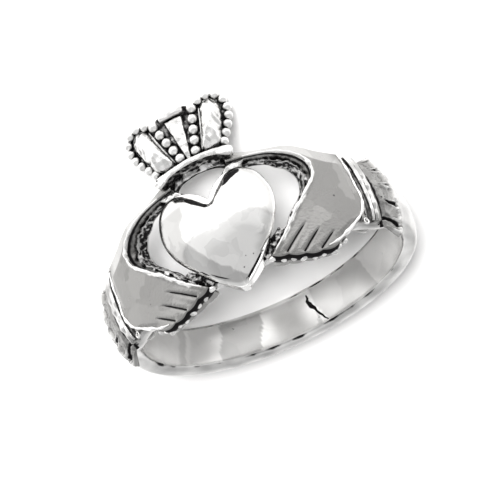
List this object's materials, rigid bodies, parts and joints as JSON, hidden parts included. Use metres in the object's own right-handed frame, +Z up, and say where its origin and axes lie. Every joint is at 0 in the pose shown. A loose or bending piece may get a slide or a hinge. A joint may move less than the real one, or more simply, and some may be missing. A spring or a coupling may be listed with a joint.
{
  "type": "claddagh ring",
  "caption": "Claddagh ring: two hands hold a crowned heart on a smooth finger band, cast in one piece in polished silver with dark recesses.",
  "frame": {"origin": "the level surface under the middle of the ring's bounding box, as the ring lies on its crown and the back of its band", "axes": "+Z up from the surface, +Y from the heart's side of the ring to the back of the band, +X across the ring from hand to hand"},
  "size_m": [0.0198, 0.0222, 0.0116],
  "materials": {
    "silver": "polished sterling silver, with blackened recesses"
  },
  "bodies": {
    "root": {"claddagh_ring": "silver"}
  },
  "joints": []
}
